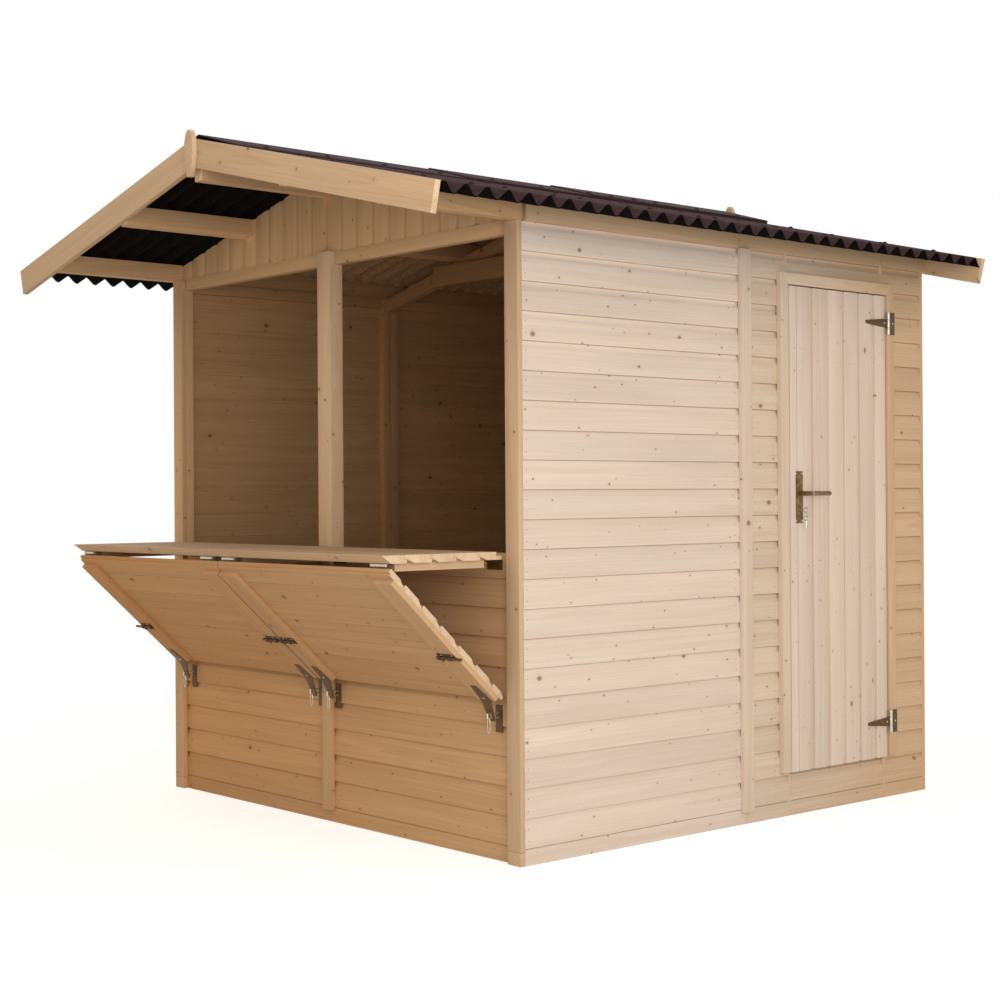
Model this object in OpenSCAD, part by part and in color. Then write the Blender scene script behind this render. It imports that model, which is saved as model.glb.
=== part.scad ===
// Wooden market stall: a boarded cabin with a serving hatch, folding counter
// shutters, a side door and a corrugated saddle roof that reaches out as a canopy.
// Millimetres. +Z is up, the hatch faces -Y, the door is in the +X wall.
// The origin is on the ground, under the middle of the roof's outline.

/* [Body] */
// Width over the side cladding
body_w = 2000; // [1900:10:2300]
// Depth over the corner boards
body_d = 2040; // [1960:10:2400]
// Height of the side walls over the door leaf, up to the eaves beams
wall_over_door = 110; // [90:1:200]
// Thickness of the cladding boards
clad_t = 16; // [12:1:20]
// Face width of the frame studs and rails
stud_w = 40; // [30:1:50]
// Depth of the frame studs and rails
stud_d = 32; // [28:1:50]
// Depth of the front posts and rails behind the corner boards
post_d = 34; // [30:1:45]
// Width of the corner boards
trim_w = 60; // [50:1:80]
// Thickness of the corner boards and cover strips
trim_t = 18; // [14:1:22]
// Width of the strips that cover the panel joints
strip_w = 50; // [40:1:60]
// Height of the plain base course that the corner boards and strips stand on
base_h = 42; // [30:1:50]

/* [Hatch] */
// Height of the boarded front below the hatch
sill_h = 940; // [880:5:1000]
// Drop of the hatch's top edge below the eaves beams
hatch_drop = 35; // [30:1:80]
// Height of the rails over the hatch
header_h = 45; // [40:1:60]
// Width of the post between the two hatch bays
mullion_w = 76; // [60:1:100]
// Depth of a counter leaf along its underside
counter_depth = 420; // [360:5:450]
// Thickness of a counter leaf
counter_t = 24; // [20:1:30]
// Distance of a counter leaf's outer end from the wall's outer face
counter_inset = 70; // [64:1:100]
// Slant of the counter's outer edge, from underside to top
counter_bevel = 32; // [10:1:36]
// Length of a prop leaf, from its hinge to its foot on the wall
prop_len = 585; // [540:5:640]
// Thickness of a prop leaf
prop_t = 18; // [14:1:22]
// Width of the battens on a prop leaf
batten_w = 88; // [70:1:100]
// Thickness of the battens on a prop leaf
batten_t = 16; // [12:1:20]

/* [Roof] */
// Slope of the roof in degrees
roof_pitch = 13.8; // [12:0.2:16]
// Height of the eaves beams at their middle
beam_h = 58; // [50:1:70]
// Width of the eaves beams
beam_w = 45; // [40:1:60]
// Height of the ridge and middle purlins
purlin_h = 64; // [50:1:75]
// Width of the ridge and middle purlins
purlin_w = 45; // [40:1:60]
// Reach of the sheets past the side cladding
eave_reach = 236; // [180:2:300]
// Reach of the canopy in front of the corner boards, to the inside of the bargeboards
canopy_reach = 493; // [400:5:600]
// Reach of the roof behind the rear corner boards, to the inside of the bargeboards
rear_reach = 25; // [15:1:80]
// Pitch of the waves in the roof sheets
wave_pitch = 78.2; // [70:0.1:100]
// Height of the waves in the roof sheets
wave_h = 30; // [20:1:34]
// Thickness of the roof sheets
sheet_t = 4; // [3:0.5:5]
// Height of the bargeboards, square to their slope
barge_h = 92; // [84:1:110]
// Thickness of the bargeboards
barge_t = 20; // [16:1:26]
// Height of the finials
finial_h = 152; // [130:1:180]
// Width of the finials
finial_w = 66; // [50:1:80]
// Thickness of the finials
finial_t = 18; // [14:1:24]
// Length of one ridge cap piece
cap_len = 1000; // [960:5:1100]
// Reach of the ridge cap down each slope
cap_reach = 230; // [180:1:260]
// Rise of the ridge cap's fold over the line of the crests
cap_crown = 11; // [4:1:20]
// Height of a rafter, square to its slope
rafter_h = 52; // [45:1:70]
// Thickness of a rafter
rafter_t = 40; // [30:1:50]
// Height of the collar tie
collar_h = 80; // [60:1:95]
// Thickness of the collar tie
collar_t = 22; // [18:1:28]

/* [Door] */
// Width of the door leaf
door_w = 550; // [520:5:600]
// Height of the door leaf
door_h = 1682; // [1600:2:1690]
// Thickness of the door leaf's boards
door_t = 16; // [12:1:18]
// Height of the bottom of the door leaf above the ground
door_z = 153; // [140:1:170]
// Distance of the door's hinge edge from the rear of the stall
door_back = 250; // [200:5:300]
// Width of the door casing
casing_w = 40; // [36:1:50]
// Thickness of the door casing
casing_t = 21; // [21:1:24]
// Running gap round the door leaf
door_gap = 5; // [5:0.5:7]
// Lap of the door leaf over the edges of the doorway
door_lap = 12; // [8:1:18]
// Length of a hinge strap
strap_len = 130; // [110:1:180]
// Height of a hinge plate
hinge_plate_h = 82; // [70:1:100]
// Height of the lock plate
lock_plate_h = 180; // [150:1:200]
// Width of the lock plate
lock_plate_w = 36; // [30:1:42]
// Length of the lever, from the spindle to its tip
lever_len = 112; // [100:1:125]

/* [Hidden] */
$fn = 48;
// Play between pieces that seat on each other
seat = 0.3;
// Joint between boards and timbers of one panel
joint = 0.6;
// Overrun of cuts
over = 1;

// Faces of the walls, outside to inside
wall_h = door_z + door_h + wall_over_door;
hatch_top = wall_h - hatch_drop;
gable_z = hatch_top + header_h;
half_w = body_w / 2;
half_d = body_d / 2;
wall_y = half_d - trim_t;
frame_y = wall_y - clad_t;
frame_in_y = frame_y - stud_d;
post_in_y = wall_y - post_d;
frame_x = half_w - clad_t;
frame_in_x = frame_x - stud_d;
post_in_x = half_w - trim_w;
mullion_x = mullion_w / 2;

// Seat line of the roof: the underside of the sheets at a distance x from the ridge
beam_proud = 5;
beam_out_x = half_w + beam_proud;
beam_in_x = beam_out_x - beam_w;
beam_mid_x = (beam_out_x + beam_in_x) / 2;
slope = tan(roof_pitch);
function roof_z(x) = wall_h + beam_h + slope * (beam_mid_x - x);
barge_front_y = -half_d - canopy_reach;
barge_rear_y = half_d + rear_reach;
roof_len = barge_rear_y - barge_front_y;
roof_mid_y = (barge_front_y + barge_rear_y) / 2;
mid_purlin_share = 0.5;
mid_purlin_x = half_w * mid_purlin_share;
purlin_drop = purlin_h / cos(roof_pitch);

// Counter and prop leaves
counter_gap = 9;
counter_sink = 18;
counter_z = sill_h - counter_sink;
counter_tongue = 20;
leaf_joint = 12;
counter_rear_y = half_d + counter_gap;
counter_front_y = counter_rear_y + counter_depth;
counter_end_x = half_w - counter_inset;
prop_drop = 14;
prop_top_z = counter_z - prop_drop;
prop_run = counter_front_y - half_d - seat;
prop_angle = acos(prop_run / prop_len);
prop_foot_z = prop_top_z - prop_len * sin(prop_angle);
batten_inset = 30;
batten_end = prop_len - batten_inset / 2;
leaf_face = prop_t + batten_t;
hinge_inset = 60;

// Metal strip and pins of the hatch fittings
metal_t = 2;
knuckle_r = 5;
butt_w = 70;
butt_leaf = 28;
hasp_w = 34;
hasp_arm = 70;
hasp_lean = 26;
hasp_tail_h = 66;
hasp_foot_w = 18;
staple_plate_w = 22;
staple_plate_h = 84;
staple_plate_drop = 18;
staple_r = 2.2;
staple_gap = 14;
staple_reach = 46;
staple_play = 1;
staple_share = 0.75;
bolt_plate_h = 28;
bolt_margin = 6;
bolt_r = 4.5;
bolt_throw = 26;
bolt_share = 0.62;

// Door places
door_y1 = half_d - door_back;
door_y0 = door_y1 - door_w;
door_z1 = door_z + door_h;
casing_face_x = half_w + casing_t;
door_in_x = casing_face_x - door_t;
open_y0 = door_y0 + door_lap;
open_y1 = door_y1 - door_lap;
open_z0 = door_z + door_lap;
open_z1 = door_z1 - door_lap;
ledge_t = 18;
ledge_h = 90;
ledge_play = 14;
ledge_shares = [0.1, 0.42, 0.86];
hinge_shares = [0.0755, 0.9415];
strap_t = 3;
strap_root_h = 30;
strap_tip_h = 12;
hinge_r = 6;
pin_r = 3;
pin_play = 0.3;
hinge_x = casing_face_x + hinge_r;
hinge_y = door_y1 + door_gap / 2;
lock_plate_t = 3;
lock_inset = 45;
lock_y = door_y0 + lock_inset;
lock_share = 0.565;
lock_mid_z = door_z + door_h * lock_share;
spindle_share = 0.07;
spindle_z = lock_mid_z + lock_plate_h * spindle_share;
keyhole_share = 0.25;
keyhole_z = lock_mid_z - lock_plate_h * keyhole_share;
keyhole_r = 3;
spindle_r = 4;
spindle_play = 0.4;
spindle_hole_r = 10;
lever_r = 8;
lever_stand = 42;

pine = "burlywood";
pine_dark = "peru";
sheet_brown = [0.24, 0.17, 0.19];
bronze = [0.33, 0.26, 0.16];

// Pieces are drawn about the middle of the cabin's footprint and set here about the roof's
module placed() {
    translate([0, -roof_mid_y, 0]) children();
}

// Box between two opposite corners
module block(low, high) {
    translate(low) cube(high - low);
}

// The same piece on both sides of the ridge line
module both_sides() {
    children();
    mirror([1, 0, 0]) children();
}

// The same piece at the front and the rear
module front_and_rear() {
    children();
    mirror([0, 1, 0]) children();
}

// Outline in X and Z, pulled out along Y
module along_y(y0, y1) {
    translate([0, y1, 0]) rotate([90, 0, 0]) linear_extrude(y1 - y0) children();
}

// Outline in Y and Z, pulled out along X
module along_x(x0, x1) {
    translate([x0, 0, 0]) rotate([90, 0, 90]) linear_extrude(x1 - x0) children();
}

// Front wall

module front_cladding() {
    color(pine_dark) placed() both_sides()
        block([joint / 2, -wall_y, 0], [frame_x, -frame_y, sill_h]);
}

// Post behind the cladding, that comes forward to a face beside the hatch
module front_post(x0, x1, face_y) {
    block([x0, -frame_y, 0], [x1, -post_in_y, wall_h]);
    block([x0, -face_y, sill_h], [x1, -frame_y, gable_z]);
}

module front_posts() {
    color(pine_dark) placed() {
        both_sides() front_post(post_in_x, frame_x, wall_y);
        front_post(-mullion_x, mullion_x, half_d);
    }
}

module front_rails() {
    rail_x0 = mullion_x + joint;
    rail_x1 = post_in_x - joint;
    color(pine_dark) placed() both_sides() {
        for (z = [0, sill_h - stud_w])
            block([rail_x0, -frame_y, z], [rail_x1, -post_in_y, z + stud_w]);
        block([rail_x0, -wall_y, hatch_top], [rail_x1, -post_in_y, gable_z]);
    }
}

module front_gable() {
    color(pine_dark) placed() difference() {
        along_y(-wall_y, -frame_y) polygon([
            [-frame_x, gable_z], [frame_x, gable_z],
            [frame_x, roof_z(frame_x)], [0, roof_z(0)], [-frame_x, roof_z(frame_x)]
        ]);
        purlin_bars(seat);
    }
}

// Right wall, with the doorway

module right_wall_front() {
    color(pine) placed() block([frame_x, -wall_y, 0], [half_w, -joint / 2, wall_h]);
}

module right_wall_latch_side() {
    color(pine) placed() block([frame_x, joint / 2, 0], [half_w, open_y0, wall_h]);
}

module right_wall_over_door() {
    color(pine) placed() block([frame_x, open_y0, open_z1], [half_w, open_y1, wall_h]);
}

module right_wall_under_door() {
    color(pine) placed() block([frame_x, open_y0, 0], [half_w, open_y1, open_z0]);
}

module right_wall_hinge_side() {
    color(pine) placed() block([frame_x, open_y1, 0], [half_w, wall_y, wall_h]);
}

// Upright stud in a side wall, from y0 towards the rear
module side_stud(y0) {
    block([frame_in_x, y0, 0], [frame_x, y0 + stud_w, wall_h]);
}

// Rail in a side wall, between two studs
module side_rail(y0, y1, z) {
    block([frame_in_x, y0 + joint, z], [frame_x, y1 - joint, z + stud_w]);
}

// Frame of one side wall panel: studs at both ends, rails at the top and the foot
module side_panel_frame(y0, y1) {
    side_stud(y0);
    side_stud(y1 - stud_w);
    for (z = [0, wall_h - stud_w]) side_rail(y0 + stud_w, y1 - stud_w, z);
}

// Frame of a side wall's front panel, which ends at the front post
module front_panel_frame() {
    stud_y = -joint / 2 - stud_w;
    side_stud(stud_y);
    for (z = [0, wall_h - stud_w]) side_rail(-post_in_y, stud_y, z);
}

module right_wall_frame() {
    color(pine_dark) placed() {
        front_panel_frame();
        side_panel_frame(joint / 2, open_y0);
        side_panel_frame(open_y1, frame_in_y);
        for (z = [open_z0 - stud_w, open_z1, wall_h - stud_w]) side_rail(open_y0, open_y1, z);
    }
}

// Left and rear walls

module left_wall() {
    color(pine) placed() front_and_rear()
        block([-half_w, joint / 2, 0], [-frame_x, wall_y, wall_h]);
}

module left_wall_frame() {
    color(pine_dark) placed() mirror([1, 0, 0]) {
        front_panel_frame();
        side_panel_frame(joint / 2, frame_in_y);
    }
}

module rear_wall() {
    color(pine) placed() both_sides()
        block([joint / 2, frame_y, 0], [frame_x, wall_y, wall_h]);
}

module rear_wall_frame() {
    color(pine_dark) placed() both_sides() {
        for (x = [joint / 2, frame_x - stud_w])
            block([x, frame_in_y, 0], [x + stud_w, frame_y, wall_h]);
        for (z = [0, wall_h - stud_w])
            block([stud_w + joint + joint / 2, frame_in_y, z],
                  [frame_x - stud_w - joint, frame_y, z + stud_w]);
    }
}

module rear_gable() {
    gable_x = beam_in_x - seat;
    color(pine) placed() difference() {
        along_y(frame_y, wall_y) polygon([
            [-gable_x, wall_h], [gable_x, wall_h],
            [gable_x, roof_z(gable_x)], [0, roof_z(0)], [-gable_x, roof_z(gable_x)]
        ]);
        purlin_bars(seat);
    }
}

// Boards over the corners and joints

module corner_boards() {
    color(pine_dark) placed() front_and_rear() both_sides() {
        block([post_in_x, wall_y, 0], [half_w, half_d, base_h - joint]);
        block([post_in_x, wall_y, base_h], [half_w, half_d, wall_h]);
    }
}

module cover_strips() {
    color(pine) placed() {
        both_sides()
            block([half_w, -strip_w / 2, base_h], [half_w + trim_t, strip_w / 2, wall_h]);
        block([-strip_w / 2, -half_d, base_h], [strip_w / 2, -wall_y, sill_h - joint]);
        block([-strip_w / 2, wall_y, base_h], [strip_w / 2, half_d, wall_h]);
    }
}

// Door casing, mitred at the head

casing_y0 = door_y0 - door_gap;
casing_y1 = door_y1 + door_gap;
casing_z1 = door_z1 + door_gap;

module casing_latch_side() {
    color(pine) placed() along_x(half_w, casing_face_x) polygon([
        [casing_y0 - casing_w, door_z], [casing_y0, door_z],
        [casing_y0, casing_z1], [casing_y0 - casing_w, casing_z1 + casing_w]
    ]);
}

module casing_head() {
    color(pine) placed() along_x(half_w, casing_face_x) polygon([
        [casing_y0, casing_z1], [casing_y1, casing_z1],
        [casing_y1 + casing_w, casing_z1 + casing_w],
        [casing_y0 - casing_w, casing_z1 + casing_w]
    ]);
}

module casing_hinge_side() {
    color(pine) placed() along_x(half_w, casing_face_x) polygon([
        [casing_y1, door_z], [casing_y1 + casing_w, door_z],
        [casing_y1 + casing_w, casing_z1 + casing_w], [casing_y1, casing_z1]
    ]);
}

// Roof timbers

// Ridge purlin, grown by a margin where it cuts its notch in a gable
module ridge_bar(margin) {
    half = purlin_w / 2 + margin;
    low = roof_z(0) - purlin_drop - margin;
    along_y(barge_front_y, barge_rear_y) polygon([
        [-half, low], [half, low], [half, roof_z(half) + margin],
        [0, roof_z(0) + margin], [-half, roof_z(half) + margin]
    ]);
}

// Middle purlin of the right slope, square to the slope
module middle_bar(margin) {
    translate([mid_purlin_x, barge_front_y, roof_z(mid_purlin_x)])
        rotate([0, roof_pitch, 0])
        translate([-purlin_w / 2 - margin, 0, -purlin_h - margin])
        cube([purlin_w + 2 * margin, roof_len, purlin_h + 2 * margin]);
}

module purlin_bars(margin) {
    ridge_bar(margin);
    both_sides() middle_bar(margin);
}

module ridge_purlin() {
    color(pine_dark) placed() ridge_bar(0);
}

module middle_purlins() {
    color(pine_dark) placed() both_sides() middle_bar(0);
}

// Eaves beam of the right side, its top cut to the slope
module eaves_bar(y0, y1) {
    along_y(y0, y1) polygon([
        [beam_in_x, wall_h], [beam_out_x, wall_h],
        [beam_out_x, roof_z(beam_out_x)], [beam_in_x, roof_z(beam_in_x)]
    ]);
}

module side_beams() {
    color(pine) placed() both_sides() eaves_bar(-frame_y, barge_rear_y);
}

module canopy_beams() {
    color(pine) placed() both_sides() eaves_bar(barge_front_y, -wall_y);
}

// Top of the rafters, under the purlins
function rafter_z(x) = roof_z(x) - purlin_drop - seat;
rafter_foot_x = frame_in_x - seat;
rafter_rise = rafter_h / cos(roof_pitch);

module rafters() {
    color(pine_dark) placed() both_sides() along_y(-rafter_t / 2, rafter_t / 2) polygon([
        [joint / 2, rafter_z(joint / 2)], [rafter_foot_x, rafter_z(rafter_foot_x)],
        [rafter_foot_x, rafter_z(rafter_foot_x) - rafter_rise],
        [joint / 2, rafter_z(joint / 2) - rafter_rise]
    ]);
}

collar_x_share = 0.61;
collar_x = half_w * collar_x_share;
collar_top_z = rafter_z(mid_purlin_x + purlin_w);
collar_y = rafter_t / 2 + seat;

module collar_tie() {
    color(pine_dark) placed() along_y(-collar_y - collar_t, -collar_y) polygon([
        [-collar_x, collar_top_z - collar_h], [collar_x, collar_top_z - collar_h],
        [collar_x, collar_top_z], [-collar_x, collar_top_z]
    ]);
}

// Roof sheets

wave_steps = 8;
sheet_len = roof_len - 2 * seat;
sheet_start = 12;
sheet_end = (half_w + eave_reach) / cos(roof_pitch);
wave_count = floor(sheet_len * wave_steps / wave_pitch);
wave_edge = (sheet_len - wave_count * wave_pitch / wave_steps) / 2;
// Share of a wave that the front end of a sheet is past a trough
wave_start_share = 0.375;
function wave_z(u) = wave_h / 2 * (1 - cos(360 * (u / wave_pitch + wave_start_share)));
wave_points = [for (i = [0 : wave_count]) i * wave_pitch / wave_steps];

// Wave profile of the whole roof length
module wave_profile() {
    lower = [for (u = wave_points) [u + wave_edge, wave_z(u)]];
    upper = [for (i = [wave_count : -1 : 0])
        [wave_points[i] + wave_edge, wave_z(wave_points[i]) + sheet_t]];
    polygon(concat(lower, upper));
}

module roof_sheet_right() {
    color(sheet_brown) placed() translate([0, barge_front_y + seat, roof_z(0) + seat])
        rotate([0, roof_pitch, 0])
        along_x(sheet_start, sheet_end) wave_profile();
}

module roof_sheet_left() {
    mirror([1, 0, 0]) roof_sheet_right();
}

cap_t = 4;
cap_lap = 40;
cap_base_z = roof_z(0) + seat + (wave_h + sheet_t + seat) / cos(roof_pitch);
cap_starts = [barge_front_y + seat, barge_front_y + cap_len - cap_lap, barge_rear_y - cap_len];
cap_ends = [barge_front_y + cap_len, barge_front_y + 2 * cap_len - cap_lap, barge_rear_y - seat];

// Three folded pieces, each lapped over the one in front of it. Their edges lie on the crests
// and the fold stands over them.
module ridge_cap() {
    fall = slope * cap_reach;
    color(sheet_brown) placed() for (i = [0 : 2])
        translate([0, 0, cap_base_z + i * (cap_t + seat)])
        along_y(cap_starts[i], cap_ends[i]) polygon([
            [-cap_reach, -fall], [0, cap_crown], [cap_reach, -fall],
            [cap_reach, cap_t - fall], [0, cap_crown + cap_t], [-cap_reach, cap_t - fall]
        ]);
}

// Bargeboards and finials

barge_lift = 35;
barge_over = 10;
barge_cut = 22;
barge_end_x = half_w + eave_reach + barge_over;
barge_rise = barge_h / cos(roof_pitch);
function barge_z(x) = roof_z(x) + barge_lift;

module bargeboard_pair(y0, y1) {
    foot_x = barge_end_x - barge_cut;
    both_sides() along_y(y0, y1) polygon([
        [joint / 2, barge_z(joint / 2)], [barge_end_x, barge_z(barge_end_x)],
        [foot_x, barge_z(foot_x) - barge_rise], [joint / 2, barge_z(joint / 2) - barge_rise]
    ]);
}

module front_bargeboards() {
    color(pine) placed() bargeboard_pair(barge_front_y - barge_t, barge_front_y);
}

module rear_bargeboards() {
    color(pine) placed() bargeboard_pair(barge_rear_y, barge_rear_y + barge_t);
}

// Half outline of a finial from its foot to its tip: width and height shares
finial_shares = [
    [0.16, 0], [0.26, 0.12], [0.38, 0.32], [0.47, 0.5], [0.5, 0.62], [0.46, 0.76], [0.34, 0.9],
    [0.14, 1]
];
finial_top = 25;
// Lift of the rear finial over the height of the front one
finial_lift = 20;
finial_z = barge_z(0) + finial_top - finial_h;

module finial_outline() {
    right = [for (p = finial_shares) [p[0] * finial_w, finial_z + p[1] * finial_h]];
    left = [for (i = [len(right) - 1 : -1 : 0]) [-right[i][0], right[i][1]]];
    polygon(concat(right, left));
}

module finials() {
    front_y = barge_front_y - barge_t;
    rear_y = barge_rear_y + barge_t;
    color(pine) placed() {
        along_y(front_y - finial_t, front_y) finial_outline();
        translate([0, 0, finial_lift]) along_y(rear_y, rear_y + finial_t) finial_outline();
    }
}

// Folding hatch shutters

module counter_leaf_right() {
    color(pine) placed() along_x(leaf_joint / 2, counter_end_x) polygon([
        [-counter_rear_y, counter_z], [-counter_rear_y, counter_z + counter_t / 2],
        [-counter_rear_y - counter_tongue, counter_z + counter_t / 2],
        [-counter_rear_y - counter_tongue, counter_z + counter_t],
        [-counter_front_y - counter_bevel, counter_z + counter_t],
        [-counter_front_y, counter_z]
    ]);
}

module counter_leaf_left() {
    mirror([1, 0, 0]) counter_leaf_right();
}

// Frame of a prop leaf: Y runs down the leaf, Z is square to its inner face
module on_prop() {
    translate([0, -counter_front_y, prop_top_z]) rotate([-prop_angle, 0, 0]) children();
}

module prop_leaf_right() {
    color(pine) placed() on_prop() {
        block([leaf_joint / 2, 0, -prop_t], [counter_end_x, prop_len, 0]);
        for (x = [leaf_joint / 2, counter_end_x - batten_w])
            block([x, batten_inset, -prop_t - batten_t], [x + batten_w, batten_end, -prop_t]);
    }
}

module prop_leaf_left() {
    mirror([1, 0, 0]) prop_leaf_right();
}

// Places on a leaf at a distance from its inner and its outer end
function leaf_places(inset) = [leaf_joint / 2 + inset, counter_end_x - inset];

// Butt hinge between the wall and a counter leaf
module wall_butt() {
    barrel_y = -wall_y - knuckle_r - seat;
    barrel_z = counter_z - knuckle_r - seat;
    along_x(-butt_w / 2, butt_w / 2) {
        translate([barrel_y, barrel_z]) circle(knuckle_r);
        translate([-wall_y - seat - metal_t, barrel_z - butt_leaf]) square([metal_t, butt_leaf]);
        translate([-counter_rear_y - butt_leaf, counter_z - seat - metal_t])
            square([butt_leaf + counter_rear_y + barrel_y, metal_t]);
    }
}

// Butt hinge between a counter leaf and its prop leaf
module leaf_butt() {
    barrel_z = counter_z - knuckle_r - seat;
    along_x(-butt_w / 2, butt_w / 2) {
        translate([-counter_front_y, barrel_z]) circle(knuckle_r);
        translate([-counter_front_y, counter_z - seat - metal_t]) square([butt_leaf, metal_t]);
    }
    on_prop() block([-butt_w / 2, -knuckle_r, seat], [butt_w / 2, butt_leaf, seat + metal_t]);
}

module counter_hinges() {
    color(bronze) placed() both_sides() for (x = leaf_places(hinge_inset)) translate([x, 0, 0]) {
        wall_butt();
        leaf_butt();
    }
}

// Hasp: a strap on a batten's face that bends round its foot and hangs down over a staple
prop_out = [-sin(prop_angle), -cos(prop_angle)];
prop_down = [cos(prop_angle), -sin(prop_angle)];
hasp_bend = [-counter_front_y, prop_top_z] + prop_down * batten_end
    + prop_out * (leaf_face + seat);
staple_z = hasp_bend[1] - hasp_tail_h * staple_share;

module hasp() {
    arm_end = hasp_bend - prop_down * hasp_arm;
    tail = [hasp_lean, -hasp_tail_h];
    tail_end = hasp_bend + tail;
    tail_out = [tail[1], -tail[0]] / norm(tail);
    corner = hasp_bend + (prop_out + tail_out) * metal_t / (1 + prop_out * tail_out);
    inset = (hasp_w - hasp_foot_w) / 2;
    low_z = tail_end[1] - over;
    slot_x = staple_r + staple_play;
    slot_h = staple_gap + 2 * slot_x;
    difference() {
        along_x(-hasp_w / 2, hasp_w / 2) polygon([
            arm_end, hasp_bend, tail_end, tail_end + tail_out * metal_t, corner,
            arm_end + prop_out * metal_t
        ]);
        for (side = [-1, 1]) along_y(-counter_front_y, -wall_y) polygon([
            [side * hasp_foot_w / 2, low_z], [side * hasp_w, low_z],
            [side * hasp_w, hasp_bend[1]], [side * hasp_w / 2, hasp_bend[1]]
        ]);
        block([-slot_x, -counter_front_y, staple_z - slot_h / 2],
              [slot_x, -wall_y, staple_z + slot_h / 2]);
        on_prop() translate([0, batten_end - hasp_arm, -leaf_face - seat - metal_t - over])
            linear_extrude(metal_t + 2 * over)
            for (side = [-1, 1]) polygon([
                [side * hasp_foot_w / 2, -over], [side * hasp_w, -over],
                [side * hasp_w, hasp_arm], [side * hasp_w / 2, hasp_arm - inset]
            ]);
    }
}

// Staple on its wall plate, through the slot of a hasp
module staple() {
    plate_y = -wall_y - seat - metal_t;
    plate_top = hasp_bend[1] - staple_plate_drop;
    block([-staple_plate_w / 2, plate_y, plate_top - staple_plate_h],
          [staple_plate_w / 2, -wall_y - seat, plate_top]);
    translate([0, plate_y - staple_reach, staple_z - staple_gap / 2]) {
        cylinder(h = staple_gap, r = staple_r);
        for (z = [0, staple_gap]) translate([0, 0, z]) {
            sphere(staple_r);
            rotate([-90, 0, 0]) cylinder(h = staple_reach + joint, r = staple_r);
        }
    }
}

module hatch_hasps() {
    color(bronze) placed() both_sides() for (x = leaf_places(batten_w / 2)) translate([x, 0, 0]) {
        hasp();
        staple();
    }
}

// Sliding bolt on a batten: a plate and a round bolt, thrown past the leaf's end
module shutter_bolt(x0, throw) {
    low_z = -leaf_face - seat - metal_t;
    plate_w = batten_w - 2 * bolt_margin;
    translate([x0, prop_len * bolt_share, 0]) {
        block([bolt_margin, -bolt_plate_h / 2, low_z],
              [bolt_margin + plate_w, bolt_plate_h / 2, -leaf_face - seat]);
        translate([0, 0, low_z - bolt_r + joint]) rotate([0, 90, 0])
            cylinder(h = batten_w + throw, r = bolt_r);
    }
}

module shutter_bolts() {
    color(bronze) placed() both_sides() on_prop() {
        shutter_bolt(leaf_joint / 2, 0);
        shutter_bolt(counter_end_x - batten_w, bolt_throw);
    }
}

// Door

module door_leaf() {
    color(pine) placed() difference() {
        block([door_in_x, door_y0, door_z], [casing_face_x, door_y1, door_z1]);
        translate([door_in_x - over, lock_y, spindle_z]) rotate([0, 90, 0])
            cylinder(h = door_t + 2 * over, r = spindle_hole_r);
    }
}

module door_ledges() {
    color(pine_dark) placed() for (share = ledge_shares)
        translate([door_in_x - ledge_t, 0, door_z + door_h * share - ledge_h / 2])
        block([0, open_y0 + ledge_play, 0], [ledge_t, open_y1 - ledge_play, ledge_h]);
}

function hinge_z(share) = door_z + door_h * share;

// Fixed leaf of a door hinge, with its pin and outer knuckles
module hinge_plate() {
    along_x(casing_face_x, casing_face_x + strap_t) polygon([
        [hinge_y, -hinge_plate_h / 2], [casing_y1 + casing_w, -hinge_plate_h / 2],
        [casing_y1 + casing_w, hinge_plate_h / 2], [hinge_y, hinge_plate_h / 2],
        [hinge_y, strap_root_h / 2 + joint], [casing_y1 + hinge_r, strap_root_h / 2 + joint],
        [casing_y1 + hinge_r, -strap_root_h / 2 - joint], [hinge_y, -strap_root_h / 2 - joint]
    ]);
    knuckle_h = hinge_plate_h / 2 - strap_root_h / 2 - joint;
    translate([hinge_x, hinge_y, -hinge_plate_h / 2]) {
        cylinder(h = hinge_plate_h, r = pin_r);
        cylinder(h = knuckle_h, r = hinge_r);
        translate([0, 0, hinge_plate_h - knuckle_h]) cylinder(h = knuckle_h, r = hinge_r);
    }
}

module hinge_plates() {
    color(bronze) placed() for (share = hinge_shares)
        translate([0, 0, hinge_z(share)]) hinge_plate();
}

// Moving strap of a door hinge, tapered, with the middle knuckle
module hinge_strap() {
    difference() {
        union() {
            along_x(casing_face_x, casing_face_x + strap_t) polygon([
                [hinge_y, -strap_root_h / 2], [hinge_y, strap_root_h / 2],
                [hinge_y - strap_root_h, strap_root_h / 2],
                [hinge_y - strap_len + strap_tip_h / 2, strap_tip_h / 2],
                [hinge_y - strap_len, 0],
                [hinge_y - strap_len + strap_tip_h / 2, -strap_tip_h / 2],
                [hinge_y - strap_root_h, -strap_root_h / 2]
            ]);
            translate([hinge_x, hinge_y, -strap_root_h / 2])
                cylinder(h = strap_root_h, r = hinge_r);
        }
        translate([hinge_x, hinge_y, -strap_root_h / 2 - over])
            cylinder(h = strap_root_h + 2 * over, r = pin_r + pin_play);
    }
}

module hinge_straps() {
    color(bronze) placed() for (share = hinge_shares)
        translate([0, 0, hinge_z(share)]) hinge_strap();
}

// Upper right quarter of the lock plate's outline: width and height shares. A neck below the
// end bar gives the plate its flared ends.
lock_shares = [
    [0.5, 0.435], [0.32, 0.444], [0.2, 0.456], [0.32, 0.464], [0.5, 0.472], [0.5, 0.5]
];

module lock_outline() {
    corner = [for (p = lock_shares) [p[0] * lock_plate_w, p[1] * lock_plate_h]];
    last = len(corner) - 1;
    polygon(concat(
        corner, [for (i = [last : -1 : 0]) [-corner[i][0], corner[i][1]]],
        [for (p = corner) [-p[0], -p[1]]], [for (i = [last : -1 : 0]) [corner[i][0], -corner[i][1]]]
    ));
}

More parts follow.
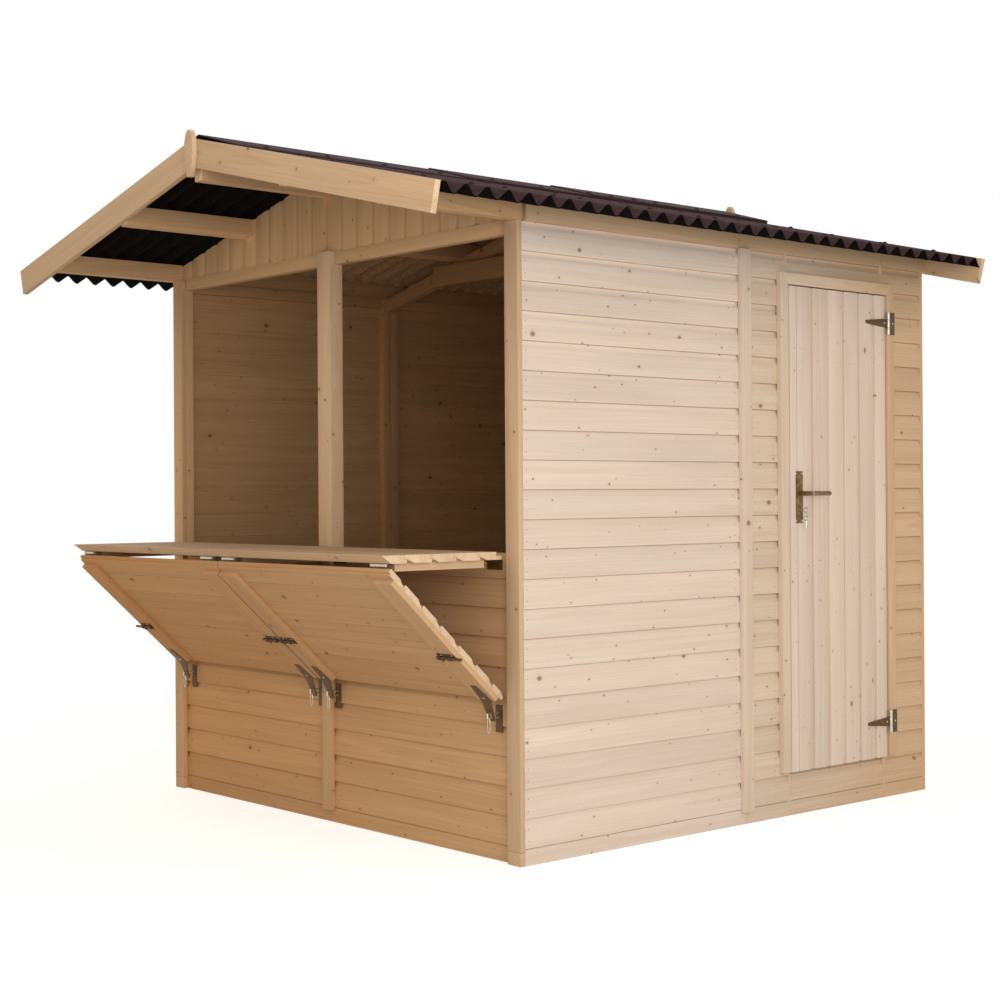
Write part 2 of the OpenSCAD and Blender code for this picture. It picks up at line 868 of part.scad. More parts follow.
// Lock plate with its keyhole and spindle hole, its back on the plane x = 0
module lock_plate() {
    difference() {
        translate([0, lock_y, lock_mid_z]) along_x(0, lock_plate_t) lock_outline();
        for (hole = [[spindle_z, spindle_r + spindle_play], [keyhole_z, keyhole_r]])
            translate([-over, lock_y, hole[0]]) rotate([0, 90, 0])
            cylinder(h = lock_plate_t + 2 * over, r = hole[1]);
    }
}

module lock_plates() {
    color(bronze) placed() {
        translate([casing_face_x, 0, 0]) lock_plate();
        translate([door_in_x - lock_plate_t, 0, 0]) lock_plate();
    }
}

// One lever: neck out of the plate, a round elbow, then a straight grip towards the hinge side
module lever_arm(x0, x1) {
    translate([min(x0, x1), lock_y, spindle_z]) rotate([0, 90, 0])
        cylinder(h = abs(x1 - x0), r = lever_r);
    translate([x1, lock_y, spindle_z]) {
        sphere(lever_r);
        rotate([-90, 0, 0]) cylinder(h = lever_len, r = lever_r);
    }
}

module door_lever() {
    outer_x = casing_face_x + lock_plate_t + joint;
    inner_x = door_in_x - lock_plate_t - joint;
    color(bronze) placed() {
        lever_arm(outer_x, outer_x + lever_stand);
        lever_arm(inner_x, inner_x - lever_stand);
        translate([inner_x - joint, lock_y, spindle_z]) rotate([0, 90, 0])
            cylinder(h = outer_x - inner_x + 2 * joint, r = spindle_r);
    }
}

front_cladding();
front_posts();
front_rails();
front_gable();
right_wall_front();
right_wall_latch_side();
right_wall_over_door();
right_wall_under_door();
right_wall_hinge_side();
right_wall_frame();
left_wall();
left_wall_frame();
rear_wall();
rear_wall_frame();
rear_gable();
corner_boards();
cover_strips();
casing_latch_side();
casing_head();
casing_hinge_side();
ridge_purlin();
middle_purlins();
side_beams();
canopy_beams();
rafters();
collar_tie();
roof_sheet_left();
roof_sheet_right();
ridge_cap();
front_bargeboards();
rear_bargeboards();
finials();
counter_leaf_left();
counter_leaf_right();
prop_leaf_left();
prop_leaf_right();
counter_hinges();
hatch_hasps();
shutter_bolts();
hinge_plates();
door_leaf();
door_ledges();
hinge_straps();
lock_plates();
door_lever();
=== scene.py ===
"""Looks of the wooden market stall: shiplap boards, timbers, roof sheets and fittings."""

import math
import random

import bmesh
import bpy
from mathutils import Matrix, Vector


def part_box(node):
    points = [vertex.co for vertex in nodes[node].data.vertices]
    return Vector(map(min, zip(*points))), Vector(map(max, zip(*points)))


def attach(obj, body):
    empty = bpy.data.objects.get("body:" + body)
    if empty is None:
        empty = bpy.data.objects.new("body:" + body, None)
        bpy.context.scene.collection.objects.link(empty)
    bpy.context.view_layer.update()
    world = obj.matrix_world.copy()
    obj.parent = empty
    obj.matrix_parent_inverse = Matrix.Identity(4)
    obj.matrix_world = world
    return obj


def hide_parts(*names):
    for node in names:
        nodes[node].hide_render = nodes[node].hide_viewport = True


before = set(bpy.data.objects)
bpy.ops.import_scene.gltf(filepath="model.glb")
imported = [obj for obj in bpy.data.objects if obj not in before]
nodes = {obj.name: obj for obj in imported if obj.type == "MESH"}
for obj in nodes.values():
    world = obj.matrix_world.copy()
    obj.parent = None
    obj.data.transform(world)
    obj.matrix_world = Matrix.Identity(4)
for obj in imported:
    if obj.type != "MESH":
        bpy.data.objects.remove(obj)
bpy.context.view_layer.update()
draw = random.Random(11)

AXIS_X = Vector((1, 0, 0))
AXIS_Y = Vector((0, 1, 0))
AXIS_Z = Vector((0, 0, 1))
MM = 0.001


def tint(code):
    """Linear colour of an sRGB hex code."""
    parts = [int(code[i:i + 2], 16) / 255 for i in (1, 3, 5)]
    return [c / 12.92 if c <= 0.04045 else ((c + 0.055) / 1.055) ** 2.4 for c in parts] + [1]


def add(tree, kind, inputs=(), out=0, **properties):
    """Adds a shader node. Inputs go by name or place, as values or links. Gives one output."""
    node = tree.nodes.new("ShaderNode" + kind)
    for name, value in properties.items():
        setattr(node, name, value)
    pairs = inputs.items() if isinstance(inputs, dict) else enumerate(inputs)
    for key, value in pairs:
        if isinstance(value, bpy.types.NodeSocket):
            tree.links.new(value, node.inputs[key])
        elif value is not None:
            node.inputs[key].default_value = value
    return node.outputs[out]


def material(name, **constants):
    """A material with its shader's constants set, and the shader to link patterns to."""
    made = bpy.data.materials.new(name)
    made.use_nodes = True
    shader = made.node_tree.nodes["Principled BSDF"]
    for key, value in constants.items():
        shader.inputs[key.replace("_", " ")].default_value = value
    return made, made.node_tree, shader


def knots(tree, grain, spread, radius, empty):
    """Masks of the knots and of the grain that bends round them. Spread is cells per metre."""
    scaled = add(tree, "VectorMath", [grain, (*spread, 0)], operation="MULTIPLY")
    cell = add(tree, "TexVoronoi", {"Vector": scaled, "Scale": 1}, out="Position",
               voronoi_dimensions="2D")
    luck = add(tree, "TexWhiteNoise", {"Vector": cell})
    apart = add(tree, "VectorMath", [scaled, cell], operation="SUBTRACT")
    metres = add(tree, "VectorMath", [apart, (0.75 / spread[0], 1 / spread[1], 0)],
                 operation="MULTIPLY")
    away = add(tree, "VectorMath", [metres], out="Value", operation="LENGTH")
    size = add(tree, "MapRange", {"Value": luck, "From Min": empty, "To Min": 0.4 * radius,
                                  "To Max": radius})
    there = add(tree, "Math", [luck, empty], operation="GREATER_THAN")
    rim = add(tree, "Math", [away, size], operation="DIVIDE")
    core = add(tree, "MapRange", {"Value": rim, "From Min": 1.3, "From Max": 0.6})
    halo = add(tree, "MapRange", {"Value": rim, "From Min": 4.5, "From Max": 1})
    return (add(tree, "Math", [core, there], operation="MULTIPLY"),
            add(tree, "Math", [halo, there], operation="MULTIPLY"))


# Tint multiplied in as painted shade where the light falls off
FALLOFF_SHADE = "#f5e4cc"


def pine(name, early, late, knot, contrast=0.7):
    """Pine that keeps its growth rings, fibres, knots and a tone of its own for each board, and
    turns warmer and darker with painted shade where the light falls off."""
    made, tree, shader = material(name, Roughness=0.66, Specular_IOR_Level=0.25)
    grain = add(tree, "Attribute", out="Vector", attribute_name="grain")
    tone = add(tree, "Attribute", out="Fac", attribute_name="tone")
    slow = add(tree, "VectorMath", [grain, (1.7, 9, 9)], operation="MULTIPLY")
    sway = add(tree, "TexNoise", {"Vector": slow, "Scale": 1, "Detail": 2})
    flat = add(tree, "VectorMath", [grain, (0, 1, 1)], operation="MULTIPLY")
    radius = add(tree, "VectorMath", [flat], out="Value", operation="LENGTH")
    bent = add(tree, "Math", [sway, 14 * MM, radius], operation="MULTIPLY_ADD")
    turns = add(tree, "Math", [bent, 7 * MM], operation="DIVIDE")
    ring = add(tree, "Math", [turns], operation="FRACT")
    dark = add(tree, "Math", [ring, 3], operation="POWER")
    fibre_at = add(tree, "VectorMath", [grain, (3, 240, 240)], operation="MULTIPLY")
    fibre = add(tree, "TexNoise", {"Vector": fibre_at, "Scale": 1, "Detail": 3})
    streak_at = add(tree, "VectorMath", [grain, (1.1, 30, 30)], operation="MULTIPLY")
    streak = add(tree, "TexNoise", {"Vector": streak_at, "Scale": 1, "Detail": 2})
    lines = add(tree, "Math", [dark, 0.35, fibre], operation="MULTIPLY_ADD")
    lines = add(tree, "Math", [streak, 1.1, lines], operation="MULTIPLY_ADD")
    share = add(tree, "MapRange", {"Value": lines, "From Min": 0.8, "From Max": 1.6,
                                   "To Max": contrast})
    wood = add(tree, "Mix", {0: share, 6: tint(early), 7: tint(late)}, out=2, data_type="RGBA")
    level = add(tree, "MapRange", {"Value": tone, "To Min": 0.95, "To Max": 1.04})
    blotch = add(tree, "MapRange", {"Value": sway, "From Min": 0.3, "From Max": 0.7,
                                    "To Min": 0.95, "To Max": 1.03})
    level = add(tree, "Math", [level, blotch], operation="MULTIPLY")
    grey = add(tree, "CombineColor", [level, level, level])
    wood = add(tree, "Mix", {0: 1.0, 6: wood, 7: grey}, out=2, data_type="RGBA",
               blend_type="MULTIPLY")
    # Painted shade: warmer and darker where the light falls off
    painted_falloff = add(tree, "Attribute", out="Fac", attribute_name="painted_falloff")
    wood = add(tree, "Mix", {0: painted_falloff, 6: wood, 7: tint(FALLOFF_SHADE)}, out=2, data_type="RGBA",
               blend_type="MULTIPLY")
    for spread, size, empty in (((9, 12), 3.4 * MM, 0.5), ((2.6, 9), 8 * MM, 0.82)):
        core, halo = knots(tree, grain, spread, size, empty)
        faint = add(tree, "Math", [halo, 0.3], operation="MULTIPLY")
        wood = add(tree, "Mix", {0: faint, 6: wood, 7: tint(late)}, out=2, data_type="RGBA")
        strong = add(tree, "Math", [core, 0.75], operation="MULTIPLY")
        wood = add(tree, "Mix", {0: strong, 6: wood, 7: tint(knot)}, out=2, data_type="RGBA")
    relief = add(tree, "Bump", {"Strength": 0.25, "Distance": 0.3 * MM, "Height": lines},
                 out="Normal")
    tree.links.new(wood, shader.inputs["Base Color"])
    tree.links.new(relief, shader.inputs["Normal"])
    return made


def mottled(name, light, dark, grain_size, depth, **constants):
    """A surface with a fine, uneven skin: two colours in patches and a shallow relief."""
    made, tree, shader = material(name, **constants)
    place = add(tree, "TexCoord", out="Object")
    patch = add(tree, "TexNoise", {"Vector": place, "Scale": 1 / grain_size, "Detail": 4})
    share = add(tree, "MapRange", {"Value": patch, "From Min": 0.35, "From Max": 0.65})
    shade = add(tree, "Mix", {0: share, 6: tint(light), 7: tint(dark)}, out=2, data_type="RGBA")
    relief = add(tree, "Bump", {"Strength": 0.5, "Distance": depth, "Height": patch}, out="Normal")
    tree.links.new(shade, shader.inputs["Base Color"])
    tree.links.new(relief, shader.inputs["Normal"])
    return made


# Planed pine in five tones, which are painted light and shade on one wood: pale where the right
# wall is lit, cream and honey where less light falls, golden in the shade of the front and amber
# in the shade inside; fine lines and small knots along each board, with a satin, nearly dull face
PINE_LIT_PALE = pine("pine_planed_pale_painted_lit", "#f0e3d8", "#e0cebd", "#7d5f44")
PINE_HALF_LIT_CREAM = pine("pine_planed_cream_painted_half_lit", "#e8dacb", "#d5bfa6", "#765739")
PINE_HALF_SHADE_HONEY = pine("pine_planed_honey_painted_half_shade", "#dfc3a2", "#c9a681", "#6e4c2c")
PINE_SHADE_GOLD = pine("pine_planed_golden_painted_shade", "#dcb88e", "#c39c70", "#66431f")
PINE_DEEP_SHADE_AMBER = pine("pine_planed_amber_painted_deep_shade", "#c6a076", "#ac845a", "#583a1c")
# Sawn board ends, with the rings cut across; their paler tone is painted light, as of ends lit from
# the side
SAWN_ENDS_LIT = pine("pine_sawn_ends_painted_light", "#efd9bd", "#cfae88", "#8a6440", 0.9)
# Upper face of a pressed fibre sheet, painted brown: dull, with a grained skin
SHEET = mottled("bitumen_sheet_painted", "#4a3337", "#38262a", 14 * MM, 0.5 * MM,
                Roughness=0.85, Specular_IOR_Level=0.2)
# Raw underside and cut edges of the sheet: black bitumen that swallows the light
RAW_SHEET = mottled("bitumen_sheet_raw", "#171513", "#0e0c0b", 10 * MM, 0.5 * MM,
                    Roughness=0.95, Specular_IOR_Level=0.05)
# The same underside over the cabin, coloured light brown
UNDERSIDE_BROWN_SHEET = mottled("bitumen_sheet_underside_brown", "#c0a07a", "#a5845f", 10 * MM, 0.5 * MM, Roughness=0.95)
# Steel with a bronze lacquer: satin, worn a little lighter in patches
BRONZE = mottled("bronzed_steel_lacquered", "#664a24", "#4c3314", 9 * MM, 0.1 * MM,
                 Roughness=0.55, Metallic=0.25)
# Cast brass, aged brown: soft lights on the round grip
BRASS = mottled("aged_brass_cast", "#8a7048", "#5a4326", 12 * MM, 0.1 * MM,
                Roughness=0.38, Metallic=0.6)
# Zinc plated wire, pins and screws, which is also a painted highlight on the round barrels and
# knuckles and on single screw heads of the bronzed hinges and hasps: small bright glints
ZINC_AND_HIGHLIGHT = mottled("zinc_plated_wire_and_painted_highlight", "#dcd6c8", "#b9b2a4", 4 * MM, 0.05 * MM,
               Roughness=0.3, Metallic=0.7)
# Nail heads set in the boards: small dots, only a little darker than the wood
NAIL = mottled("steel_nail_heads", "#b3977a", "#957a5f", 2 * MM, 0.05 * MM, Roughness=0.6)


def wood(face, back=None):
    """The materials of a wooden piece: its faces, its sawn ends, its nails and its back."""
    return [face, SAWN_ENDS_LIT, NAIL, back or face]


METAL_BRONZE = [BRONZE, ZINC_AND_HIGHLIGHT]
METAL_BRASS = [BRASS, ZINC_AND_HIGHLIGHT]


def ramp(value, start, stop):
    """How far a value is on its way from start to stop."""
    return min(max((value - start) / (stop - start), 0), 1)


def shaded_rearward(spot):
    """Painted shade, warmer and darker, that grows towards the rear of the right wall."""
    return ramp(spot.y, 0.35, 1.1)


def shaded_leftward(spot):
    """Painted shade, warmer and darker, that grows towards the left of the front."""
    return ramp(spot.x, 0.5, -0.5)


def unshaded(spot):
    """Wood without painted shade."""
    return 0


class Piece:
    """Collects solids with a grain direction and a tone each, then makes one object of them."""

    def __init__(self, shade_falloff=unshaded):
        # A function of place that gives each point its painted shade, where the light falls off
        self.shade_falloff = shade_falloff
        self.painted_falloff = []
        self.points = []
        self.faces = []
        self.kinds = []
        self.grain = []
        self.tones = []

    def put(self, points, faces, kinds, along, across, tone=None):
        """Adds one solid. The grain runs along, with the heart of the tree a little way off."""
        start = len(self.points)
        heart = Vector((draw.uniform(0, 40), draw.uniform(-0.04, 0.04), draw.uniform(0.02, 0.06)))
        third = along.cross(across)
        middle = sum(points, Vector()) / len(points)
        tone = draw.random() if tone is None else tone
        for p in points:
            self.points.append(p)
            local = p - middle
            self.grain.append(Vector((local @ along, local @ across, local @ third)) + heart)
            self.tones.append(tone)
            self.painted_falloff.append(self.shade_falloff(p))
        self.faces += [[start + i for i in face] for face in faces]
        self.kinds += kinds

    def plank(self, profile, corner, along, across, out, reach, kinds=(0, 1, 0)):
        """A board: points of its section across and outward, swept along between two ends. The
        kinds are those of its long faces, its ends and its back."""
        count = len(profile)
        points = []
        for end in (0, 1):
            for w, d in profile:
                points.append(corner + along * reach(w)[end] + across * w + out * d)
        ring = range(count)
        faces = [[i, (i + 1) % count, count + (i + 1) % count, count + i] for i in ring]
        faces += [list(reversed(ring)), [count + i for i in ring]]
        backs = [profile[i][1] == 0 == profile[(i + 1) % count][1] for i in ring]
        sides = [kinds[2] if back else kinds[0] for back in backs]
        self.put(points, faces, sides + [kinds[1]] * 2, along, across)

    def solid(self, shape, kind_of=None):
        """A solid from a bmesh, its grain along its longest edge, its ends sawn across."""
        longest = max(shape.edges, key=lambda e: e.calc_length())
        along = (longest.verts[1].co - longest.verts[0].co).normalized()
        across = along.orthogonal().normalized()
        shape.verts.index_update()
        shape.normal_update()
        points = [v.co.copy() for v in shape.verts]
        faces = [[v.index for v in f.verts] for f in shape.faces]
        if kind_of:
            kinds = [kind_of(f.calc_center_median()) for f in shape.faces]
        else:
            kinds = [1 if abs(f.normal @ along) > 0.8 else 0 for f in shape.faces]
        self.put(points, faces, kinds, along, across)

    def tube(self, path, radius, sides=10, closed=False, kind=0):
        """A round bar or wire along a path, with flat ends or closed on itself."""
        count = len(path)
        points = []
        side = None
        for i, p in enumerate(path):
            before = path[i - 1] if i or closed else p
            after = path[(i + 1) % count] if i + 1 < count or closed else p
            ahead = (after - before).normalized()
            side = ahead.orthogonal() if side is None else side - ahead * (side @ ahead)
            side.normalize()
            up = ahead.cross(side)
            for k in range(sides):
                turn = 2 * math.pi * k / sides
                points.append(p + (side * math.cos(turn) + up * math.sin(turn)) * radius)
        faces = []
        for i in range(count if closed else count - 1):
            low = i * sides
            high = (i + 1) % count * sides
            for k in range(sides):
                n = (k + 1) % sides
                faces.append([low + k, low + n, high + n, high + k])
        if not closed:
            faces.append(list(reversed(range(sides))))
            faces.append([(count - 1) * sides + k for k in range(sides)])
        self.put(points, faces, [kind] * len(faces), AXIS_X, AXIS_Y)

    def dome(self, centre, normal, radius, height, kind=0, sides=10):
        """A low round head, such as a screw, nail or cap, standing on a face."""
        side = normal.orthogonal().normalized()
        up = normal.cross(side)
        points = []
        for share, lift in ((1, -0.3), (1, 0.35), (0.72, 0.8), (0.3, 1)):
            for k in range(sides):
                turn = 2 * math.pi * k / sides
                arm = side * math.cos(turn) + up * math.sin(turn)
                points.append(centre + arm * radius * share + normal * height * lift)
        faces = [list(reversed(range(sides))), [3 * sides + k for k in range(sides)]]
        for i in range(3):
            for k in range(sides):
                n = (k + 1) % sides
                faces.append([i * sides + k, i * sides + n, (i + 1) * sides + n,
                              (i + 1) * sides + k])
        self.put(points, faces, [kind] * len(faces), AXIS_X, AXIS_Y)

    def make(self, name, materials, slot, replaced=(), body="stall", crease=32):
        """The finished object, riding on its body and standing for the solids it replaces."""
        mesh = bpy.data.meshes.new(name)
        mesh.from_pydata(self.points, [], self.faces)
        for each in materials:
            mesh.materials.append(each)
        mesh.polygons.foreach_set("material_index", self.kinds)
        grain = mesh.attributes.new("grain", "FLOAT_VECTOR", "POINT")
        grain.data.foreach_set("vector", [c for g in self.grain for c in g])
        tones = mesh.attributes.new("tone", "FLOAT", "POINT")
        tones.data.foreach_set("value", self.tones)
        # Painted shade of each point, read by the pine material
        painted_falloff = mesh.attributes.new("painted_falloff", "FLOAT", "POINT")
        painted_falloff.data.foreach_set("value", self.painted_falloff)
        shape = bmesh.new()
        shape.from_mesh(mesh)
        bmesh.ops.recalc_face_normals(shape, faces=shape.faces)
        shape.to_mesh(mesh)
        shape.free()
        mesh.polygons.foreach_set("use_smooth", [True] * len(mesh.polygons))
        mesh.set_sharp_from_angle(angle=math.radians(crease))
        made = bpy.data.objects.new(name, mesh)
        bpy.context.scene.collection.objects.link(made)
        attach(made, body)
        if replaced:
            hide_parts(*replaced)
        return made


def solids(node):
    """The separate solids of a CAD node, each as a clean bmesh of its own."""
    whole = bmesh.new()
    whole.from_mesh(nodes[node].data)
    bmesh.ops.remove_doubles(whole, verts=whole.verts, dist=0.01 * MM)
    left = set(whole.faces)
    found = []
    for first in list(whole.faces):
        if first not in left:
            continue
        left.discard(first)
        group = [first]
        for face in group:
            for edge in face.edges:
                for near in edge.link_faces:
                    if near in left:
                        left.discard(near)
                        group.append(near)
        part = bmesh.new()
        twin = {}
        for face in group:
            for v in face.verts:
                if v not in twin:
                    twin[v] = part.verts.new(v.co)
            part.faces.new([twin[v] for v in face.verts])
        bmesh.ops.dissolve_limit(part, angle_limit=math.radians(0.5), verts=part.verts,
                                 edges=part.edges)
        found.append(part)
    whole.free()
    return found


def eased(part, size):
    """Takes the sharp edges off a solid."""
    sharp = [e for e in part.edges if e.calc_face_angle(0) > math.radians(35)]
    bmesh.ops.bevel(part, geom=sharp, offset=size, segments=2, profile=0.6, affect="EDGES",
                    clamp_overlap=True)
    return part


def timber(node, materials, body="stall", carve=None, kind_of=None, shade_falloff=unshaded):
    """A CAD node of timbers, with eased edges and a grain of its own for each timber. Carve gives
    a corner's new place."""
    piece = Piece(shade_falloff)
    for part in solids(node):
        for v in part.verts:
            v.co = carve(v.co) if carve else v.co
        piece.solid(eased(part, 1.5 * MM), kind_of)
        part.free()
    piece.make(node + "_timber", materials, "pine", [node], body)


def corners(part):
    """Lowest and highest corner of a solid."""
    spans = list(zip(*(v.co for v in part.verts)))
    return Vector([min(span) for span in spans]), Vector([max(span) for span in spans])


def fitting(node, edge=0.4 * MM, kind_of=lambda spot, low, high: 0, widen=1):
    """A CAD node of fittings with eased edges, open to added details, and its solids' corners. The
    kind of a face goes by its middle and by the corners of its solid."""
    piece = Piece()
    boxes = []
    for part in solids(node):
        low, high = corners(part)
        middle = (low.x + high.x) / 2
        for v in part.verts:
            v.co.x = middle + (v.co.x - middle) * widen
        boxes.append((low, high))
        piece.solid(eased(part, edge), lambda spot: kind_of(spot, low, high))
        part.free()
    return piece, boxes


# Shiplap boards

COVER = 90.2 * MM
HOLLOW = 26 * MM
HOLLOW_DEPTH = 8.5 * MM
TONGUE = 8 * MM
SLIT = 1.6 * MM
NAIL_HEAD = (1.9 * MM, 0.5 * MM)


def shiplap(cover, thick, slit=SLIT):
    """Section of a shiplap board: square lower edge, hollow upper edge, tongue behind the next."""
    floor = thick - HOLLOW_DEPTH
    steps = 8
    hollow = [(cover - slit - (HOLLOW - slit) * i / steps,
               thick - HOLLOW_DEPTH * math.cos(i / steps * math.pi / 2)) for i in range(steps + 1)]
    back = floor - 3 * MM
    return [(TONGUE + MM, 0), (cover + TONGUE, 0), (cover + TONGUE, back - MM),
            (cover - slit, back - MM), *hollow, (MM, thick), (0, thick - MM), (0, back),
            (TONGUE + MM, back)]


def plain(width, thick, ease=1 * MM):
    """Section of a plain board with eased front edges."""
    return [(0, 0), (width, 0), (width, thick - ease), (width - ease, thick), (ease, thick),
            (0, thick - ease)]


def clip(points, low, high):
    """A section cut off square at two places across it."""
    for edge, side in ((low, 1), (high, -1)):
        kept = []
        for (w0, d0), (w1, d1) in zip(points, points[1:] + points[:1]):
            inside = (w0 - edge) * side >= 0
            if inside:
                kept.append((w0, d0))
            if inside != ((w1 - edge) * side >= 0):
                kept.append((edge, d0 + (edge - w0) / (w1 - w0) * (d1 - d0)))
        points = kept
    return points


def run(piece, corner, along, across, out, joints, limits, thick, reach, slit=SLIT):
    """A run of shiplap boards. Joints are places across, reach gives a board's ends at a place.
    A sliver narrower than the hollow is left out, which leaves an open joint."""
    for low, high in zip(joints, joints[1:]):
        first = max(low, limits[0])
        last = min(high + TONGUE, limits[1])
        if min(high, limits[1]) - first < 1.02 * HOLLOW:
            continue
        section = shiplap(high - low, thick, slit)
        if low == joints[0] and high - low < 0.6 * COVER:
            section = plain(high - low - slit, thick)
        section = clip(section, first - low, last - low)
        piece.plank(section, corner + across * low, along, across, out,
                    lambda w, low=low: reach(low + w), (0, 1, 3))


def wall(node, materials, out, insets, splits=(), shade_falloff=unshaded):
    """Courses of boards on a wall panel, in line with the courses of all the walls. Insets are
    the distances of the nails from both ends of each run of boards."""
    low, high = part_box(node)
    joints = [0] + [WALL_TOP - k * COVER for k in range(21, -1, -1)]
    thick = abs((high - low) @ out)
    along = AXIS_Y if abs(out.x) > 0.5 else AXIS_X
    piece = Piece(shade_falloff)
    ends = [low @ along, *splits, high @ along]
    back = low if out @ (high - low) > 0 else high
    for start, stop, nailed in zip(ends, ends[1:], insets):
        corner = along * (start + 0.3 * MM) + out * (back @ out)
        length = stop - start - 0.6 * MM
        run(piece, corner, along, AXIS_Z, out, joints, (low.z, high.z), thick,
            lambda w: (0, length))
        for joint in joints[1:]:
            for share in (0.26, 0.66):
                z = joint + share * COVER
                for place in (nailed[0] * MM, length - nailed[1] * MM):
                    if low.z + 9 * MM < z < high.z - 9 * MM:
                        spot = corner + along * place + AXIS_Z * z + out * thick
                        piece.dome(spot, out, *NAIL_HEAD, 2, 6)
    piece.make(node + "_boards", materials, "pine", [node])


def gable(node, materials, out, cover):
    """Upright boards of a gable, their tops cut to the slope of the roof."""
    low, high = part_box(node)
    half = high.x
    count = int(half / cover)
    inner = [k * cover for k in range(-count, count + 1)]
    places = [-half] + inner + [half]
    back = low if out.y > 0 else high
    piece = Piece()
    for left, right in zip(places, places[1:]):
        last = right - left if right in (0, half) else right - left + TONGUE
        section = clip(shiplap(right - left, high.y - low.y), 0, last)
        piece.plank(section, Vector((left, back.y, low.z)), AXIS_Z, AXIS_X, out,
                    lambda w: (0, high.z - SLOPE * abs(left + w) - low.z), (0, 1, 3))
    piece.make(node + "_boards", materials, "pine", [node])


WALL_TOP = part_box("right_wall_front")[1].z
WALL_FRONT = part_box("front_cladding")[0].y
CABIN_Y = (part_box("left_wall")[0].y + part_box("left_wall")[1].y) / 2
PITCH = math.radians(13.8)
SLOPE = math.tan(PITCH)

# Pine tones on the walls are painted light and shade: pale on the lit right wall, golden on the
# shaded front, amber on most inside faces, and painted shade darkens the rear of the right wall and
# the left of the front
wall("right_wall_front", wood(PINE_LIT_PALE, PINE_DEEP_SHADE_AMBER), AXIS_X, [(14, 45)])
wall("right_wall_latch_side", wood(PINE_HALF_LIT_CREAM, PINE_DEEP_SHADE_AMBER), AXIS_X, [(45, 77)], shade_falloff=shaded_rearward)
wall("right_wall_over_door", wood(PINE_HALF_LIT_CREAM, PINE_DEEP_SHADE_AMBER), AXIS_X, [(60, 60)], shade_falloff=shaded_rearward)
wall("right_wall_under_door", wood(PINE_HALF_LIT_CREAM, PINE_DEEP_SHADE_AMBER), AXIS_X, [(60, 60)], shade_falloff=shaded_rearward)
wall("right_wall_hinge_side", wood(PINE_HALF_LIT_CREAM, PINE_DEEP_SHADE_AMBER), AXIS_X, [(77, 14)], shade_falloff=shaded_rearward)
wall("left_wall", wood(PINE_HALF_LIT_CREAM, PINE_DEEP_SHADE_AMBER), -AXIS_X, [(14, 45), (45, 14)], [CABIN_Y])
wall("rear_wall", wood(PINE_HALF_LIT_CREAM, PINE_LIT_PALE), AXIS_Y, [(64, 45), (45, 64)], [0])
wall("front_cladding", wood(PINE_SHADE_GOLD, PINE_DEEP_SHADE_AMBER), -AXIS_Y, [(64, 45), (45, 64)], [0], shaded_leftward)
gable("front_gable", wood(PINE_SHADE_GOLD, PINE_DEEP_SHADE_AMBER), -AXIS_Y, 88 * MM)
gable("rear_gable", wood(PINE_HALF_LIT_CREAM, PINE_LIT_PALE), AXIS_Y, 88 * MM)

PURLIN_DROP = 36 * MM
PURLIN_MIDDLE = sum(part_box("ridge_purlin"), Vector()).z / 2
FINIAL_SHARE = 0.8


def deeper(spot):
    """The ridge purlin reaches further down than its solid."""
    return spot - AXIS_Z * PURLIN_DROP if spot.z < PURLIN_MIDDLE else spot


def slimmer(spot):
    """The finials are slimmer than their solids."""
    return Vector((spot.x * FINIAL_SHARE, spot.y, spot.z))


# Pine tones of the timbers are painted light and shade: golden in the shade of the front, amber
# inside, honey and cream between
timber("ridge_purlin", wood(PINE_SHADE_GOLD), carve=deeper)
timber("finials", wood(PINE_HALF_SHADE_HONEY), carve=slimmer)
for name in ("front_rails", "middle_purlins", "canopy_beams"):
    timber(name, wood(PINE_SHADE_GOLD))
for name in ("right_wall_frame", "left_wall_frame", "rafters", "collar_tie"):
    timber(name, wood(PINE_DEEP_SHADE_AMBER))
for name in ("casing_hinge_side", "front_bargeboards", "rear_bargeboards", "rear_wall_frame"):
    timber(name, wood(PINE_HALF_SHADE_HONEY))
# Painted shade: the left corner boards, the strips on the front, the left posts and the inner faces
# of the side beams take a darker pine
timber("corner_boards", wood(PINE_HALF_SHADE_HONEY, PINE_SHADE_GOLD), kind_of=lambda spot: 3 if spot.x < 0 else 0)
timber("casing_latch_side", wood(PINE_HALF_LIT_CREAM))
timber("casing_head", wood(PINE_HALF_LIT_CREAM), shade_falloff=shaded_rearward)
timber("cover_strips", wood(PINE_HALF_LIT_CREAM, PINE_SHADE_GOLD), kind_of=lambda spot: 3 if spot.y < WALL_FRONT else 0)
timber("front_posts", wood(PINE_HALF_SHADE_HONEY, PINE_SHADE_GOLD), kind_of=lambda spot: 3 if spot.x < -0.5 else 0)
timber("side_beams", wood(PINE_HALF_SHADE_HONEY, PINE_DEEP_SHADE_AMBER), kind_of=lambda spot: 3 if abs(spot.x) < 0.97 else 0)
timber("door_ledges", wood(PINE_HALF_LIT_CREAM), "door")

# Door leaf: upright boards, each hollow on the side of the hinges

